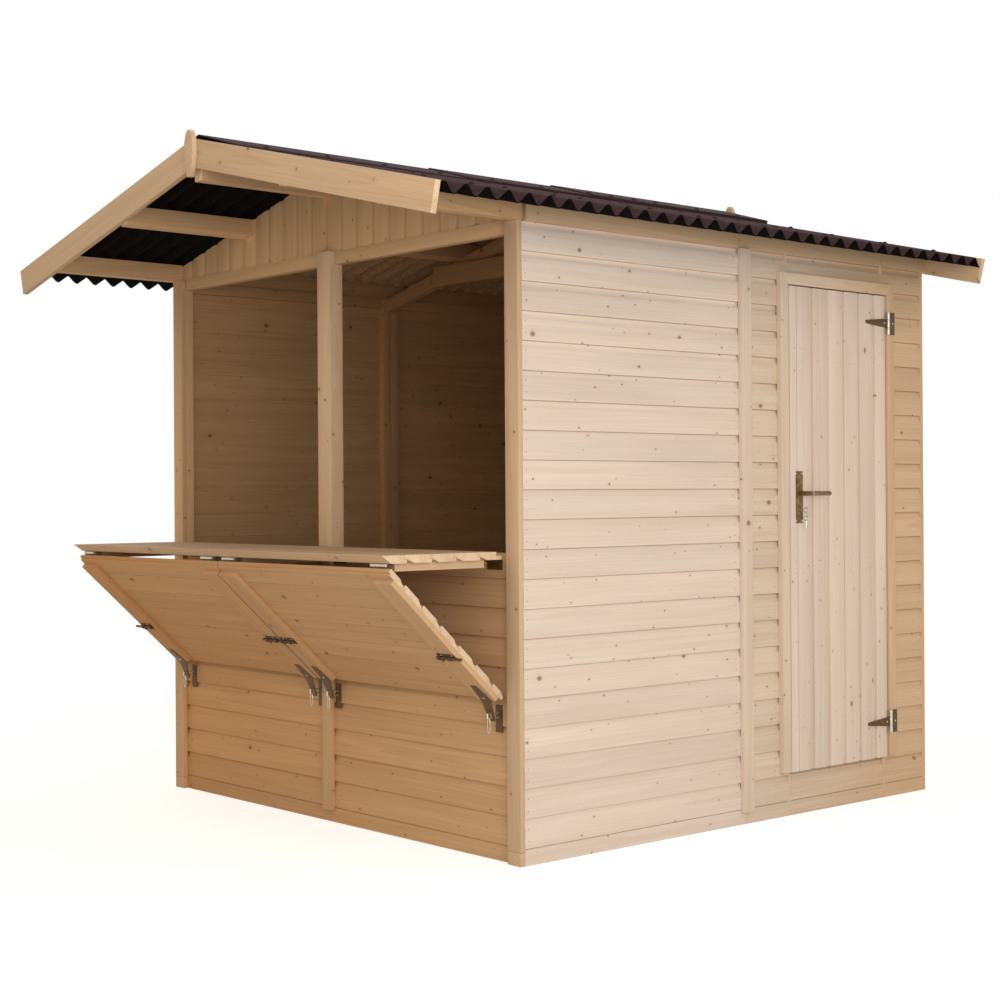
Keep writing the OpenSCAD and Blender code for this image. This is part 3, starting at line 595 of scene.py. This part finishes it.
low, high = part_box("door_leaf")
door_width = high.y - low.y
door_joints = [0] + [door_width - (68.5 + 88.5 * k) * MM for k in range(5, -1, -1)]
door_joints += [door_width + TONGUE]
leaf = Piece()
run(leaf, Vector(low), AXIS_Z, AXIS_Y, AXIS_X, door_joints, (0, door_width), high.x - low.x,
    lambda w: (0, high.z - low.z), 3 * MM)
for ledge in solids("door_ledges"):
    middle = sum((v.co for v in ledge.verts), Vector()) / len(ledge.verts)
    for joint in door_joints[:-1]:
        for rise in (-20 * MM, 22 * MM):
            spot = Vector((high.x, low.y + joint + 26 * MM, middle.z + rise))
            leaf.dome(spot, AXIS_X, *NAIL_HEAD, 2, 6)
    ledge.free()
leaf.make("door_leaf_boards", wood(PINE_LIT_PALE), "pine", ["door_leaf"], "door")

# Hatch shutters

COUNTER_DEPTH = 420 * MM
PROP_LENGTH = 585 * MM
PROP_TILT = math.acos((420 + 9 - 0.3) / 585)
DOWN = Vector((0, math.cos(PROP_TILT), -math.sin(PROP_TILT)))
INWARD = Vector((0, math.sin(PROP_TILT), math.cos(PROP_TILT)))
PROP_TOP = Vector((0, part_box("counter_leaf_left")[1].y - COUNTER_DEPTH,
                   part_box("counter_leaf_left")[0].z - 14 * MM))
PROP_THICK = 18 * MM
BATTEN = 88 * MM
BATTEN_THICK = 16 * MM
COUNTER_JOINTS = [0] + [(84 + 92.5 * k) * MM for k in range(4)]
PROP_JOINTS = [0] + [(72 + 91 * k) * MM for k in range(6)] + [PROP_LENGTH + TONGUE]


def counter(node):
    """Counter leaf: boards with their hollow face down, a slanted outer edge, and two cross
    battens between the hinges."""
    low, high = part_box(node)
    thick = high.z - low.z
    corner = Vector((low.x, high.y, high.z))
    piece = Piece()

    def ends(w):
        """Both ends of a board, the same at each place across it."""
        return 0, high.x - low.x

    for left, right in zip(COUNTER_JOINTS, COUNTER_JOINTS[1:]):
        section = shiplap(right - left, thick)
        if left == 0:
            rear = 20 * MM
            section = [p for p in section if p[0] > rear]
            section += [(MM, thick), (0, thick - MM), (0, thick / 2), (rear, thick / 2), (rear, 0)]
        piece.plank(section, corner - AXIS_Y * left, AXIS_X, -AXIS_Y, -AXIS_Z, ends)
    left = COUNTER_JOINTS[-1]
    back = thick - HOLLOW_DEPTH - 3 * MM
    top = high.y - low.y - left
    piece.plank([(TONGUE + MM, 0), (top - MM, 0), (top, MM), (COUNTER_DEPTH - left, thick - MM),
                 (COUNTER_DEPTH - left - MM, thick), (MM, thick), (0, thick - MM), (0, back),
                 (TONGUE + MM, back)],
                corner - AXIS_Y * left, AXIS_X, -AXIS_Y, -AXIS_Z, ends)
    for x in (low.x + 25 * MM, high.x - 95 * MM):
        piece.plank(plain(70 * MM, 24 * MM), Vector((x, low.y + 64 * MM, low.z - 0.2 * MM)), AXIS_Y,
                    AXIS_X, -AXIS_Z, lambda w: (0, 340 * MM), (0, 0, 0))
    piece.make(node + "_boards", wood(PINE_HALF_SHADE_HONEY), "pine", [node])


def prop(node):
    """Prop leaf: boards with their hollow face inward, and two battens outside."""
    low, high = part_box(node)
    corner = Vector((low.x, PROP_TOP.y, PROP_TOP.z)) - INWARD * PROP_THICK
    # Painted shade darkens the prop boards towards the left
    piece = Piece(shaded_leftward)
    run(piece, corner, AXIS_X, DOWN, INWARD, PROP_JOINTS, (0, PROP_LENGTH), PROP_THICK,
        lambda w: (0, high.x - low.x))
    for x in (low.x, high.x - BATTEN):
        at = Vector((x, PROP_TOP.y, PROP_TOP.z)) - INWARD * (PROP_THICK + 0.2 * MM) + DOWN * 30 * MM
        piece.plank(plain(BATTEN, BATTEN_THICK - 0.2 * MM), at, DOWN, AXIS_X, -INWARD,
                    lambda w: (0, 540 * MM), (0, 0, 0))
    piece.make(node + "_boards", wood(PINE_SHADE_GOLD), "pine", [node])


for side in ("left", "right"):
    counter("counter_leaf_" + side)
    prop("prop_leaf_" + side)

# Roof

WAVE = 78.2 * MM
WAVE_HEIGHT = 30 * MM
WAVE_START = 0.375
SHEET_THICK = 4 * MM
NAIL_CAP = (9 * MM, 6 * MM)
CABIN_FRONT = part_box("front_gable")[1].y + 60 * MM
CABIN_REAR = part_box("rear_gable")[0].y - 60 * MM
CABIN_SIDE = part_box("side_beams")[1].x
STEPS = 16
SHEET_LOW, SHEET_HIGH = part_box("roof_sheet_right")
SHEET_START = 12 * MM
SHEET_RIDGE = (SHEET_HIGH.z + SHEET_START * math.sin(PITCH)
               - (WAVE_HEIGHT + SHEET_THICK) * math.cos(PITCH))


def wave(u):
    """Height of the sheet's underside over its seat, at a place along the roof."""
    return WAVE_HEIGHT / 2 * (1 - math.cos(2 * math.pi * (u / WAVE + WAVE_START)))


def roof_sheet(node, side):
    """Corrugated sheet of one slope, with nail caps on its crests."""
    length = SHEET_HIGH.y - SHEET_LOW.y
    down = Vector((side * math.cos(PITCH), 0, -math.sin(PITCH)))
    out = Vector((side * math.sin(PITCH), 0, math.cos(PITCH)))
    ridge = Vector((0, SHEET_LOW.y, SHEET_RIDGE))
    stop = (SHEET_HIGH.x - (WAVE_HEIGHT + SHEET_THICK) * math.sin(PITCH)) / math.cos(PITCH)
    inside = (CABIN_SIDE - 60 * MM * side) / math.cos(PITCH)
    rows = [SHEET_START + (inside - SHEET_START) * k / 5 for k in range(6)] + [stop]
    count = int(round(length * STEPS / WAVE))
    spots = [length * i / count for i in range(count + 1)]
    piece = Piece()
    points = []
    for away in rows:
        for lift in (0, SHEET_THICK):
            for u in spots:
                points.append(ridge + down * away + AXIS_Y * u + out * (wave(u) + lift))
    span = count + 1
    faces = []
    kinds = []
    for k in range(len(rows) - 1):
        here = k * 2 * span
        there = here + 2 * span
        for i in range(count):
            covered = rows[k] < inside and CABIN_FRONT < SHEET_LOW.y + spots[i] < CABIN_REAR
            faces.append([here + i, there + i, there + i + 1, here + i + 1])
            faces.append([here + span + i, here + span + i + 1, there + span + i + 1,
                          there + span + i])
            kinds += [2 if covered else 1, 0]
        for i in (0, count):
            faces.append([here + i, here + span + i, there + span + i, there + i])
            kinds.append(1)
    for edge in (0, (len(rows) - 1) * 2 * span):
        for i in range(count):
            faces.append([edge + i, edge + i + 1, edge + span + i + 1, edge + span + i])
            kinds.append(1)
    piece.put(points, faces, kinds, down, AXIS_Y)
    for away in (0.52, 0.98, 1.2):
        for k in range(int(length / WAVE)):
            u = (k + 0.5 - WAVE_START) * WAVE
            if k % 4 == 2:
                spot = ridge + down * away + AXIS_Y * u + out * (wave(u) + SHEET_THICK)
                piece.dome(spot, out, *NAIL_CAP, 0, 12)
    piece.make(node + "_waves", [SHEET, RAW_SHEET, UNDERSIDE_BROWN_SHEET], "roof_sheet", [node], crease=40)


roof_sheet("roof_sheet_left", -1)
roof_sheet("roof_sheet_right", 1)
cap, boxes = fitting("ridge_cap", 1.2 * MM)
for low, high in boxes:
    for side in (-1, 1):
        for share in (0.14, 0.38, 0.62, 0.86):
            above = Vector((side * (high.x - 45 * MM), low.y + (high.y - low.y) * share, high.z + 1))
            spot, out = nodes["ridge_cap"].ray_cast(above, -AXIS_Z)[1:3]
            cap.dome(spot, out, *NAIL_CAP, 0, 12)

# Closing strips under the edges of the ridge cap, cut to the waves of the sheet

STRIP = 3 * MM
SUNK = 0.5 * MM


def sheet_top(x, y):
    """Height of the sheet's upper face at a distance from the ridge."""
    lift = wave(y - SHEET_LOW.y) + SHEET_THICK
    away = (x - lift * math.sin(PITCH)) / math.cos(PITCH)
    return SHEET_RIDGE - away * math.sin(PITCH) + lift * math.cos(PITCH)


strips = Piece()
cap_low, cap_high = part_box("ridge_cap")
strip_x = cap_high.x - 2 * MM
count = int(round((cap_high.y - cap_low.y) * STEPS / WAVE))
for side in (-1, 1):
    points = []
    for i in range(count + 1):
        y = cap_low.y + MM + (cap_high.y - cap_low.y - 2 * MM) * i / count
        for x in (strip_x - STRIP, strip_x):
            low = sheet_top(x, y)
            below = Vector((side * x, y, low - 0.1))
            high = nodes["ridge_cap"].ray_cast(below, AXIS_Z)[1].z
            points += [Vector((side * x, y, z)) for z in (low - SUNK, high + SUNK)]
    faces = [[0, 1, 3, 2], [4 * count + k for k in (0, 2, 3, 1)]]
    for i in range(count):
        here = 4 * i
        for a, b in ((0, 1), (1, 3), (3, 2), (2, 0)):
            faces.append([here + a, here + b, here + 4 + b, here + 4 + a])
    strips.put(points, faces, [0] * len(faces), AXIS_Y, AXIS_X)
strips.make("ridge_closing_strips", [SHEET], "roof_sheet", crease=40)
cap.make("ridge_cap_pieces", [SHEET], "roof_sheet", ["ridge_cap"])

# Hatch fittings

METAL = 2 * MM
KNUCKLE = 5 * MM
BATTEN_FACE = PROP_THICK + BATTEN_THICK + 0.3 * MM
HASP_BEND = PROP_TOP + DOWN * 570 * MM - INWARD * BATTEN_FACE
BOLT_LINE = PROP_TOP + DOWN * 362.7 * MM - INWARD * (BATTEN_FACE + METAL)
BOLT = 4.5 * MM


def ring(centre, first, second, wide, tall, steps=20):
    """Points of an oval ring in the plane of two directions."""
    turns = [2 * math.pi * k / steps for k in range(steps)]
    return [centre + first * wide * math.cos(t) + second * tall * math.sin(t) for t in turns]


def knuckle_highlight(spot, low, high):
    """Painted highlight in pale zinc on the round knuckles between a counter leaf and its prop."""
    away = math.hypot(spot.y - low.y - KNUCKLE, spot.z - high.z + KNUCKLE)
    return 1 if high.y < PROP_TOP.y + 0.1 and away < 1.1 * KNUCKLE else 0


butts = fitting("counter_hinges", kind_of=knuckle_highlight)[0]
butts.make("counter_hinges_fittings", METAL_BRONZE, "bronzed_steel", ["counter_hinges"])


def bright_loop(spot, low, high):
    """Zinc on the loop of a staple, whose wall plate stays bronze."""
    return 1 if high.y > WALL_FRONT - MM and spot.y < high.y - METAL - 0.5 * MM else 0


WIRE = 1.3 * MM
STAPLE_LEG = 7 * MM
STAPLE_ROD = 2.2 * MM
STAPLE_Z = HASP_BEND.z - 49.5 * MM
hasps, boxes = fitting("hatch_hasps", kind_of=bright_loop, widen=1.4)
for low, high in boxes:
    x = (low.x + high.x) / 2
    if high.y > WALL_FRONT - MM:
        hook = 24 * MM
        top = STAPLE_Z - STAPLE_LEG + STAPLE_ROD + WIRE
        centre = Vector((x, low.y + 3.3 * STAPLE_ROD, top - hook))
        hasps.tube(ring(centre, AXIS_X, AXIS_Z, 6 * MM, hook), WIRE, 8, True, 1)
    else:
        # The screw head nearest the bend in pale zinc is a painted highlight; the other two stay
        # bronze
        for rise, kind in ((12 * MM, 1), (34 * MM, 0), (56 * MM, 0)):
            spot = HASP_BEND - DOWN * rise - INWARD * METAL
            hasps.dome(Vector((x, spot.y, spot.z)), -INWARD, 3.6 * MM, 1.8 * MM, kind)
hasps.make("hatch_hasps_fittings", METAL_BRONZE, "bronzed_steel", ["hatch_hasps"])

KEEPER_TURNS = [math.pi * k / 6 for k in range(7)]
KEEPER = [(-13 * MM, 0), (-13 * MM, 1.5 * MM), (-6.8 * MM, 1.5 * MM)]
KEEPER += [(-6.8 * MM * math.cos(t), BOLT + 6.8 * MM * math.sin(t)) for t in KEEPER_TURNS]
KEEPER += [(6.8 * MM, 1.5 * MM), (13 * MM, 1.5 * MM), (13 * MM, 0), (5 * MM, 0)]
KEEPER += [(5 * MM * math.cos(t), BOLT + 5 * MM * math.sin(t)) for t in KEEPER_TURNS] + [(-5 * MM, 0)]
bolts, boxes = fitting("shutter_bolts")
for low, high in boxes:
    outer = 1 if high.x > 0 else -1
    inner_end = min(abs(low.x), abs(high.x))
    for place in (12, 62):
        x = outer * (inner_end + place * MM) - 6 * MM
        bolts.plank(KEEPER, Vector((x, BOLT_LINE.y, BOLT_LINE.z)), AXIS_X, DOWN, -INWARD,
                    lambda w: (0, 12 * MM), (0, 0, 0))
        for drop in (-10 * MM, 10 * MM):
            spot = BOLT_LINE + DOWN * drop
            x = outer * (inner_end + (place + 13) * MM)
            bolts.dome(Vector((x, spot.y, spot.z)), -INWARD, 2.8 * MM, 1.4 * MM, 1)
    knob = BOLT_LINE - INWARD * 1.6 * BOLT
    bolts.dome(Vector((outer * (inner_end + 37 * MM), knob.y, knob.z)), -INWARD, 5 * MM, 9 * MM)
bolts.make("shutter_bolts_fittings", METAL_BRONZE, "bronzed_steel", ["shutter_bolts"])

# Door fittings

STRAP_THICK = 3 * MM


def barrel_highlight(spot, low, high):
    """Painted highlight in pale zinc on the round barrel of a hinge, which stands out beyond its flat
    leaf.
    """
    return 1 if spot.x > low.x + STRAP_THICK + 0.4 * MM else 0


plates, boxes = fitting("hinge_plates", kind_of=barrel_highlight)
for low, high in boxes:
    # The middle screw head in pale zinc is a painted highlight; the others stay bronze
    for share, kind in ((0.16, 0), (0.5, 1), (0.84, 0)):
        spot = Vector((low.x + STRAP_THICK, high.y - 13 * MM, low.z + (high.z - low.z) * share))
        plates.dome(spot, AXIS_X, 3.4 * MM, 1.6 * MM, kind)
plates.make("hinge_plates_fittings", METAL_BRONZE, "bronzed_steel", ["hinge_plates"])
straps, boxes = fitting("hinge_straps", kind_of=barrel_highlight)
for low, high in boxes:
    # The screw head near the strap's root in pale zinc is a painted highlight; the others stay bronze
    for away, kind in ((24, 1), (66, 0), (112, 0)):
        spot = Vector((low.x + STRAP_THICK, high.y - away * MM, (low.z + high.z) / 2))
        straps.dome(spot, AXIS_X, 3.6 * MM, 1.8 * MM, kind)
straps.make("hinge_straps_fittings", METAL_BRONZE, "bronzed_steel", ["hinge_straps"], "door")

# Lock plates, with a key in the lock and a second key on its ring

locks, boxes = fitting("lock_plates")
low, high = max(boxes, key=lambda box: box[1].x)
lock_middle = (low + high) / 2
keyhole = Vector((high.x, lock_middle.y, lock_middle.z - (high.z - low.z) / 4))
for share in (0.1392, 0.8608):
    screw = Vector((high.x, lock_middle.y, low.z + (high.z - low.z) * share))
    locks.dome(screw, AXIS_X, 3 * MM, 1.4 * MM)
BOW = 8.5 * MM
BOW_WIRE = 2 * MM
SHAFT = 2.5 * MM
KEY_OUT = 20 * MM
locks.tube([keyhole - AXIS_X * 2 * MM, keyhole + AXIS_X * KEY_OUT], SHAFT, 10, False, 1)
bow = keyhole + AXIS_X * (KEY_OUT + BOW)
locks.tube(ring(bow, AXIS_X, AXIS_Z, BOW, BOW), BOW_WIRE, 8, True, 1)
SPLIT = 9 * MM
SPLIT_WIRE = 0.9 * MM
split = bow - AXIS_Z * (BOW - BOW_WIRE - SPLIT_WIRE + SPLIT)
locks.tube(ring(split, AXIS_Y, AXIS_Z, SPLIT, SPLIT), SPLIT_WIRE, 8, True, 1)
spare = split - AXIS_Z * (SPLIT + BOW - BOW_WIRE - SPLIT_WIRE)
locks.tube(ring(spare, AXIS_X, AXIS_Z, BOW, BOW), BOW_WIRE, 8, True, 1)
tip = spare - AXIS_Z * (BOW + 26 * MM)
locks.tube([spare - AXIS_Z * BOW, tip], SHAFT, 10, False, 1)
locks.plank(plain(7 * MM, 2 * MM, 0.3 * MM), tip + AXIS_Z * MM - AXIS_Y * MM, AXIS_X, AXIS_Z, AXIS_Y,
            lambda w: (0, 8 * MM), (1, 1, 1))
locks.make("lock_plates_fittings", METAL_BRASS, "aged_brass", ["lock_plates"], "door")

lever, boxes = fitting("door_lever")
low, high = boxes[0]
GRIP = 8 * MM
for x in (low.x + GRIP, high.x - GRIP):
    ferrule = Vector((x, low.y + GRIP + 13 * MM, (low.z + high.z) / 2))
    lever.tube([ferrule, ferrule + AXIS_Y * 3.5 * MM], GRIP + 0.6 * MM, 20, False, 1)
lever.make("door_lever_fittings", METAL_BRASS, "aged_brass", ["door_lever"], "lever")

# Strips that close the hollows of the wall boards beside the doorway

LINING = 12 * MM
SET_BACK = 0.4 * MM
LINING_EASE = 0.1 * MM
linings = Piece()
for node, end, offset in (("right_wall_hinge_side", 0, SET_BACK),
                          ("right_wall_latch_side", 1, -LINING - SET_BACK)):
    low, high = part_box(node)
    corner = Vector((high.x - HOLLOW_DEPTH, (low, high)[end].y + offset, low.z))
    section = plain(LINING, HOLLOW_DEPTH - LINING_EASE, LINING_EASE)
    linings.plank(section, corner, AXIS_Z, AXIS_Y, AXIS_X,
                  lambda w: (0, high.z - low.z), (1, 1, 1))
linings.make("doorway_linings", wood(PINE_HALF_LIT_CREAM), "pine", [])

# Studio: pale floor, white to the eye, a large soft light from the right and a warm fill

scene = bpy.context.scene
scene.view_settings.view_transform = "Standard"

world = bpy.data.worlds.new("studio")
scene.world = world
world.use_nodes = True
sky = world.node_tree
sky.nodes.clear()


def seen_as_white(tree):
    """One where the eye, a gloss or a clear surface looks, zero where light is gathered."""
    kinds = ("Camera", "Glossy", "Transmission")
    rays = [add(tree, "LightPath", out="Is %s Ray" % kind) for kind in kinds]
    pair = add(tree, "Math", rays[:2], operation="MAXIMUM")
    return add(tree, "Math", [pair, rays[2]], operation="MAXIMUM")


fill = add(sky, "Background", {"Color": (1.0, 0.87, 0.72, 1), "Strength": 0.72})
white = add(sky, "Background", {"Color": (1, 1, 1, 1), "Strength": 1})
result = sky.nodes.new("ShaderNodeOutputWorld")
sky.links.new(add(sky, "MixShader", [seen_as_white(sky), fill, white]), result.inputs["Surface"])

floor_paint = bpy.data.materials.new("floor_matt_white")
floor_paint.use_nodes = True
tree = floor_paint.node_tree
tree.nodes.clear()
matt = add(tree, "BsdfDiffuse", {"Color": (0.66, 0.65, 0.63, 1)})
paper = add(tree, "Math", [seen_as_white(tree), 0.68], operation="MULTIPLY")
glow = add(tree, "Emission", {"Color": (1, 1, 1, 1), "Strength": paper})
result = tree.nodes.new("ShaderNodeOutputMaterial")
tree.links.new(add(tree, "AddShader", [matt, glow]), result.inputs["Surface"])
half = 14
ground = bpy.data.meshes.new("floor")
ground.from_pydata([(-half, -half, -MM), (half, -half, -MM), (half, half, -MM), (-half, half, -MM)],
                   [], [(0, 1, 2, 3)])
ground.materials.append(floor_paint)
floor = bpy.data.objects.new("floor", ground)
scene.collection.objects.link(floor)


def soft_light(name, place, target, width, height, watts, colour):
    """A large rectangular light that faces a point."""
    lamp = bpy.data.lights.new(name, "AREA")
    lamp.shape = "RECTANGLE"
    lamp.size = width
    lamp.size_y = height
    lamp.energy = watts
    lamp.color = colour
    made = bpy.data.objects.new(name, lamp)
    made.location = place
    made.rotation_euler = (Vector(target) - Vector(place)).to_track_quat("-Z", "Y").to_euler()
    made.visible_camera = False
    scene.collection.objects.link(made)


soft_light("key", (4.9, -2.6, 1.5), (0.9, 0.2, 1.0), 2.8, 2.6, 78, (1, 1, 1))

# Camera, found from the photograph's lines

yaw, tip, roll = (math.radians(a) for a in (48.968, 0.14, -0.357))
ahead = Vector((-math.sin(yaw) * math.cos(tip), math.cos(yaw) * math.cos(tip), math.sin(tip)))
level = Vector((math.cos(yaw), math.sin(yaw), 0))
lift = level.cross(ahead)
right = level * math.cos(roll) + lift * math.sin(roll)
up = lift * math.cos(roll) - level * math.sin(roll)
lens = bpy.data.cameras.new("camera")
lens.sensor_width = 36
lens.lens = 63.08
lens.shift_x = 0.0005
lens.shift_y = -0.0101
camera = bpy.data.objects.new("camera", lens)
camera.matrix_world = Matrix.Translation((4.928, -4.28, 1.12)) @ Matrix(
    (right, up, -ahead)).transposed().to_4x4()
scene.collection.objects.link(camera)
scene.camera = camera
